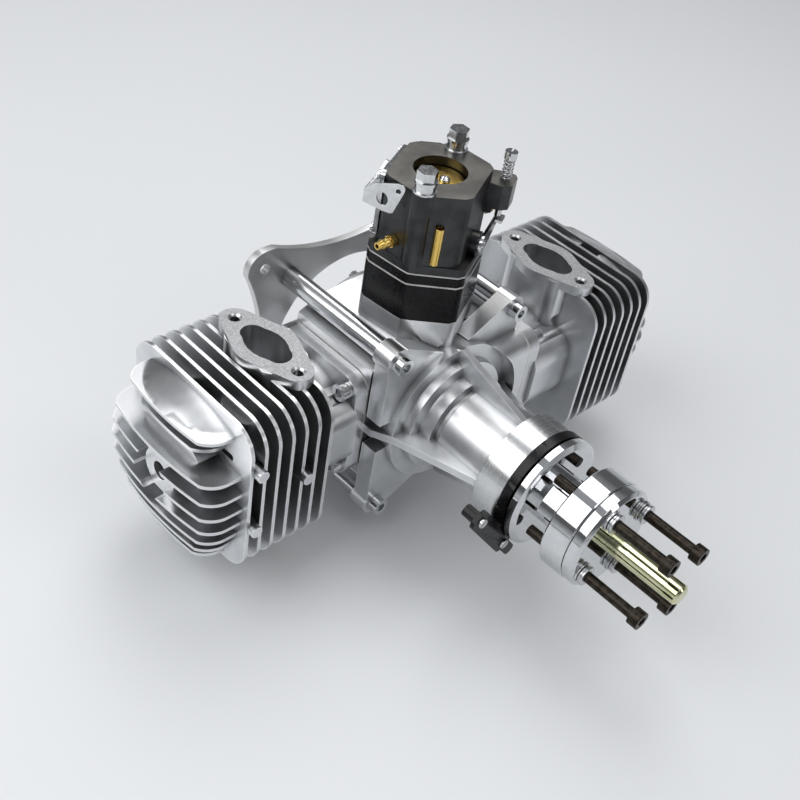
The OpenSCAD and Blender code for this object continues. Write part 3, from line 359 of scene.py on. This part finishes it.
# pieces with more detail than their solids
class Solid:
    """Closed shapes for one mesh. place takes (a, b, along) in mm to a point of the shared frame."""

    def __init__(self, place):
        self.place, self.verts, self.faces = place, [], []

    def turn(self, outline, middle=(0, 0), steps=128, gap=0, rise=0):
        """Turns a closed outline of (radius, along) about an axis. A gap in degrees leaves a split ring."""
        base, count, sweep = len(self.verts), len(outline), math.tau - math.radians(gap)
        rows = steps + 1 if gap else steps
        for k in range(rows):
            t, shift = sweep * k / steps, rise * (k / steps - 0.5)
            self.verts += [self.place(middle[0] + r * math.cos(t), middle[1] + r * math.sin(t), along + shift)
                           for r, along in outline]
        for k in range(steps):
            here, there = base + k * count, base + (k + 1) % rows * count
            self.faces += [(here + i, here + (i + 1) % count, there + (i + 1) % count, there + i)
                           for i in range(count)]
        if gap:
            self.faces += [tuple(base + i for i in range(count)),
                           tuple(base + steps * count + i for i in range(count))]
        return self

    def extrude(self, corners, low, high):
        base, count = len(self.verts), len(corners)
        self.verts += [self.place(a, b, along) for along in (low, high) for a, b in corners]
        self.faces += [tuple(base + i for i in range(count)), tuple(base + count + i for i in range(count))]
        self.faces += [(base + i, base + (i + 1) % count, base + count + (i + 1) % count, base + count + i)
                       for i in range(count)]
        return self

    def make(self, name):
        mesh = bpy.data.meshes.new(name)
        mesh.from_pydata(self.verts, [], self.faces)
        made = bmesh.new()
        made.from_mesh(mesh)
        bmesh.ops.remove_doubles(made, verts=made.verts, dist=1e-7)
        bmesh.ops.recalc_face_normals(made, faces=made.faces)
        made.to_mesh(mesh)
        made.free()
        piece = bpy.data.objects.new(name, mesh)
        bpy.context.scene.collection.objects.link(piece)
        return piece


def crank_place(a, b, along):
    return at(a, along, b)


def arm_place(a, b, along):
    """Outlines of (u, height), with their thickness along the carburettor's shafts."""
    return at_carb(a, along, b)


def leg_place(a, b, along):
    """Outlines of (v, height), with their thickness across the carburettor's shafts."""
    return at_carb(along, a, b)


def polar(radius, degrees):
    return radius * math.cos(math.radians(degrees)), radius * math.sin(math.radians(degrees))


def turned(spots, degrees):
    c, s = polar(1, degrees)
    return [(a * c - b * s, a * s + b * c) for a, b in spots]


def oval(middle, half, steps=40, lean=0):
    """Corners of an oval with two half-widths, turned by lean degrees."""
    spots = [(half[0] * math.cos(math.tau * k / steps), half[1] * math.sin(math.tau * k / steps))
             for k in range(steps)]
    return [(middle[0] + a, middle[1] + b) for a, b in turned(spots, lean)]


def circle(middle, radius, steps=40):
    return oval(middle, (radius, radius), steps)


def carve(piece, operation, tool):
    """Joins a tool's shape to a piece or cuts it out, and drops the tool."""
    step = piece.modifiers.new("step", "BOOLEAN")
    step.operation, step.solver, step.object = operation, "EXACT", tool
    mesh = bpy.data.meshes.new_from_object(piece.evaluated_get(bpy.context.evaluated_depsgraph_get()))
    piece.modifiers.clear()
    piece.data = mesh
    bpy.data.objects.remove(tool)


def stand_in(piece, node, body, finish, edge_mm):
    """Shows a piece in place of a node."""
    coat(piece, finish, edge_mm)
    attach(piece, body)
    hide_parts(node)


# the hub, in mm along and about the crank axis
HUB_BACK, DISC_FRONT, HUB_MID, HUB_FRONT = -94.4, -100, -114.3, -126.7
BORE_R, BORE_FRONT, STUD_HOLE_R = 8.5, -112, 4
DISC_R, NECK_R = 27.5, 12.9
HUB_OUTLINE = [
    (BORE_R, HUB_BACK), (26.7, HUB_BACK), (DISC_R, HUB_BACK - 0.8), (DISC_R, DISC_FRONT + 1.6),
    (25, DISC_FRONT), (NECK_R, DISC_FRONT), (NECK_R, HUB_MID), (25.1, HUB_MID), (25.9, HUB_MID - 0.8),
    (25.7, HUB_FRONT + 0.6), (25.3, HUB_FRONT), (STUD_HOLE_R, HUB_FRONT), (STUD_HOLE_R, BORE_FRONT),
    (BORE_R, BORE_FRONT)]
BLOCK_TURNS, BLOCK_HALF, BLOCK_IN, BLOCK_OUT, BLOCK_BACK = (142, 322), 6.3, 9, 25.0, HUB_MID + 7.9
RIM_STEPS = 6
BOLT_RING, BOLT_TURN, BOLT_HOLE_R = 19.5, 24.2, 2.6
MAGNET_RING, MAGNET_TURN, MAGNET_HOLE_R = 22, -138.5, 2.5


def bolt_places():
    return [polar(BOLT_RING, BOLT_TURN + 90 * k) for k in range(4)]


def add_hub():
    """The propeller hub: disc, neck, front part, and two blocks behind the front part."""
    hub = Solid(crank_place).turn(HUB_OUTLINE).make("hub")
    lean = math.asin(BLOCK_HALF / BLOCK_OUT)
    rim = [(BLOCK_OUT * math.cos(lean * k / RIM_STEPS), BLOCK_OUT * math.sin(lean * k / RIM_STEPS))
           for k in range(-RIM_STEPS, RIM_STEPS + 1)]
    for degrees in BLOCK_TURNS:
        block = turned([(BLOCK_IN, -BLOCK_HALF), *rim, (BLOCK_IN, BLOCK_HALF)], degrees)
        carve(hub, "UNION", Solid(crank_place).extrude(block, HUB_MID - 1, BLOCK_BACK).make("block"))
    holes = Solid(crank_place)
    for spot in bolt_places():
        holes.extrude(circle(spot, BOLT_HOLE_R), HUB_FRONT - 1, HUB_MID + 1)
    holes.extrude(circle(polar(MAGNET_RING, MAGNET_TURN), MAGNET_HOLE_R), HUB_BACK - 3, HUB_BACK + 1)
    carve(hub, "DIFFERENCE", holes.make("holes"))
    stand_in(hub, "prop_hub", "rotor", POLISHED, 0.25)


WASHER_FRONT = -133.2         # the propeller washer's front face, which the rings stand on
RING_HOLE_R, RING_CHAMFER, RING_STEPS = 2.65, 0.15, 56
# each ring's radius, back, front, gap in degrees and rise over its turn
RINGS = ((5, 0, 1, 0, 0), (4.25, 1.15, 2.25, 9, 0.25), (4.8, 2.4, 3.6, 0, 0))


def add_bolt_washers():
    """A flat washer, a split spring washer and a ring under each propeller bolt."""
    rings, inner, c = Solid(crank_place), RING_HOLE_R, RING_CHAMFER
    for spot in bolt_places():
        for outer, back, front, gap, rise in RINGS:
            y0, y1 = WASHER_FRONT - back, WASHER_FRONT - front
            rings.turn([(inner, y0), (outer - c, y0), (outer, y0 - c), (outer, y1 + c), (outer - c, y1),
                        (inner, y1)], spot, RING_STEPS, gap, rise)
    stand_in(rings.make("propeller_bolt_washers"), "bolt_washers", "rotor", SPRING, 0.06)


# the choke, in mm of the carburettor's frame: u across the shafts, v along them, z up
CHOKE_Z = 105                 # height of the shaft's axis
PLATE_LOW, PLATE_R = CHOKE_Z + 3.05, 11.2
PLATE_TOP = PLATE_LOW + 0.8
NOTCH_AT, NOTCH_R = (6.6, 6.0), 1.5
SCREW_AT, SCREW_R, SCREW_STEPS = (0, -2.5), 2.4, 48
SLOT_HALF, SLOT_REACH, SLOT_LOW = 0.35, 3, PLATE_TOP + 0.9
LEG_SIDES, THROUGH_LEG = (-24.7, -23.9), (-27, -22)
ARM_SIDES, THROUGH_ARM = (23.5, 24.9), (22, 27)
LEG_OUTLINE = [
    (24.9, CHOKE_Z - 3), (24.9, CHOKE_Z + 3.6), (20.6, 112), (10.6, 114.9), (8.2, 114.6), (7.2, 113.2),
    (7.4, 111.6), (11.1, 100.8), (12.2, 100.2), (16, 100.3)]
ARM_R, SHAFT_HOLE_R = 4.6, 2.05
OVAL_AT, OVAL_HALF, OVAL_LEAN = (16.5, 106), (2.45, 3.05), -23
ROD_HOLE_AT, ROD_HOLE_R = (10, 111.4), 1.1


def add_choke():
    """The choke plate with its screw, on top of its round shaft, and the lever bent round the body."""
    plate = Solid(at_carb).extrude(circle((0, 0), PLATE_R, 96), PLATE_LOW, PLATE_TOP).make("choke_disc")
    notch = Solid(at_carb).extrude(circle(NOTCH_AT, NOTCH_R), PLATE_LOW - 1, PLATE_LOW + 2)
    carve(plate, "DIFFERENCE", notch.make("notch"))
    stand_in(plate, "choke_plate", "choke", BRASS, 0.12)

    outline = [(0, PLATE_TOP), (SCREW_R, PLATE_TOP), (SCREW_R, SLOT_LOW), (1.7, PLATE_TOP + 1.5),
               (0, PLATE_TOP + 1.7)]
    screw = Solid(at_carb).turn(outline, SCREW_AT, SCREW_STEPS).make("choke_plate_screw")
    back, front = SCREW_AT[1] - SLOT_HALF, SCREW_AT[1] + SLOT_HALF
    slot = [(-SLOT_REACH, back), (SLOT_REACH, back), (SLOT_REACH, front), (-SLOT_REACH, front)]
    carve(screw, "DIFFERENCE", Solid(at_carb).extrude(slot, SLOT_LOW, PLATE_TOP + 3).make("slot"))
    coat(screw, SCREW, 0.1)
    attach(screw, "choke")

    lever = Solid(leg_place).extrude(LEG_OUTLINE, *LEG_SIDES).make("choke_lever_plate")
    far = LEG_SIDES[0]
    arm = [(a, CHOKE_Z + b) for a, b in (polar(ARM_R, t) for t in range(-90, 91, 10))]
    arm += [(-8, CHOKE_Z + 3.4), (far, CHOKE_Z + 3), (far, CHOKE_Z - 3), (-8, CHOKE_Z - 3.4)]
    carve(lever, "UNION", Solid(arm_place).extrude(arm, *ARM_SIDES).make("arm"))
    holes = Solid(leg_place).extrude(oval(OVAL_AT, OVAL_HALF, lean=OVAL_LEAN), *THROUGH_LEG)
    holes.extrude(circle(ROD_HOLE_AT, ROD_HOLE_R), *THROUGH_LEG)
    carve(lever, "DIFFERENCE", holes.make("holes"))
    hole = Solid(arm_place).extrude(circle((0, CHOKE_Z), SHAFT_HOLE_R), *THROUGH_ARM)
    carve(lever, "DIFFERENCE", hole.make("shaft_hole"))
    stand_in(lever, "choke_lever", "choke", SCREW, 0.12)


# studio: a pale floor, soft lamps, and a surround that goes from pale at the floor to dim above
FLOOR_Z, FLOOR_HALF = -61.7 * MM, 4.0
FLOOR_DARK, FLOOR_LIGHT, FLOOR_ROUGH, FLOOR_CLOUD_MM = (0.74, 0.76, 0.79), (0.80, 0.82, 0.84), 0.45, 400
SURROUND = 0.42
SKY_TINT = (0.94, 0.97, 1)
# pairs of height and strength
SKY = ((0.0, 0.62), (0.10, 0.42), (0.24, 0.13), (0.55, 0.13), (0.80, 0.34), (1.0, 0.42))
MIDDLE = Vector((0, -0.14, 0.0))
# each lamp's name, distance and direction from the middle, size in metres and power
LAMPS = (("top_right", 1.25, (0.31, 0.40, 0.86), (0.62, 1.0), 4.6),
         ("top_left", 1.25, (-0.66, 0.30, 0.69), (1.05, 1.0), 7.6),
         ("top_front", 1.3, (0.12, -0.52, 0.85), (0.75, 0.7), 2.4),
         ("front", 1.6, (0.35, -0.85, 0.38), (0.35, 0.5), 1.2))


def add_stage():
    mesh = bpy.data.meshes.new("floor")
    corners = [(x * FLOOR_HALF, y * FLOOR_HALF, FLOOR_Z) for x, y in ((-1, -1), (1, -1), (1, 1), (-1, 1))]
    mesh.from_pydata(corners, [], [(0, 1, 2, 3)])
    floor = bpy.data.objects.new("floor", mesh)
    bpy.context.scene.collection.objects.link(floor)
    n = Nodes("floor")
    tone = n.blend(n.noise(FLOOR_CLOUD_MM, 2), FLOOR_DARK, FLOOR_LIGHT)
    mesh.materials.append(n.set(Base_Color=tone, Roughness=FLOOR_ROUGH))


def add_surround():
    """The world: SKY where the camera, gloss or glass sees it, and an even light elsewhere."""
    world = bpy.data.worlds.new("surround")
    bpy.context.scene.world = world
    world.use_nodes = True
    tree = world.node_tree
    tree.nodes.clear()

    def new(kind):
        return tree.nodes.new(kind)

    coord, parts, ramp = new("ShaderNodeTexCoord"), new("ShaderNodeSeparateXYZ"), new("ShaderNodeValToRGB")
    tree.links.new(coord.outputs["Generated"], parts.inputs[0])
    tree.links.new(parts.outputs["Z"], ramp.inputs["Fac"])
    stops = ramp.color_ramp.elements
    while len(stops) < len(SKY):
        stops.new(0.5)
    for stop, (height, strength) in zip(stops, SKY):
        stop.position, stop.color = height, (strength, strength, strength, 1)
    seen, light = new("ShaderNodeBackground"), new("ShaderNodeBackground")
    tree.links.new(ramp.outputs["Color"], seen.inputs["Strength"])
    seen.inputs["Color"].default_value = (*SKY_TINT, 1)
    light.inputs["Color"].default_value = (1, 1, 1, 1)
    light.inputs["Strength"].default_value = SURROUND
    path, one, two = new("ShaderNodeLightPath"), new("ShaderNodeMath"), new("ShaderNodeMath")
    one.operation = two.operation = "MAXIMUM"
    tree.links.new(path.outputs["Is Camera Ray"], one.inputs[0])
    tree.links.new(path.outputs["Is Glossy Ray"], one.inputs[1])
    tree.links.new(one.outputs[0], two.inputs[0])
    tree.links.new(path.outputs["Is Transmission Ray"], two.inputs[1])
    mix, out = new("ShaderNodeMixShader"), new("ShaderNodeOutputWorld")
    tree.links.new(two.outputs[0], mix.inputs["Fac"])
    tree.links.new(light.outputs[0], mix.inputs[1])
    tree.links.new(seen.outputs[0], mix.inputs[2])
    tree.links.new(mix.outputs[0], out.inputs["Surface"])


add_camera()
add_stage()
add_surround()
for lamp_name, distance, direction, lamp_size, lamp_power in LAMPS:
    softbox(lamp_name, MIDDLE + distance * Vector(direction), MIDDLE, lamp_size, lamp_power)
bpy.context.scene.view_settings.view_transform = "Standard"

dress()
add_hub()
add_bolt_washers()
add_choke()
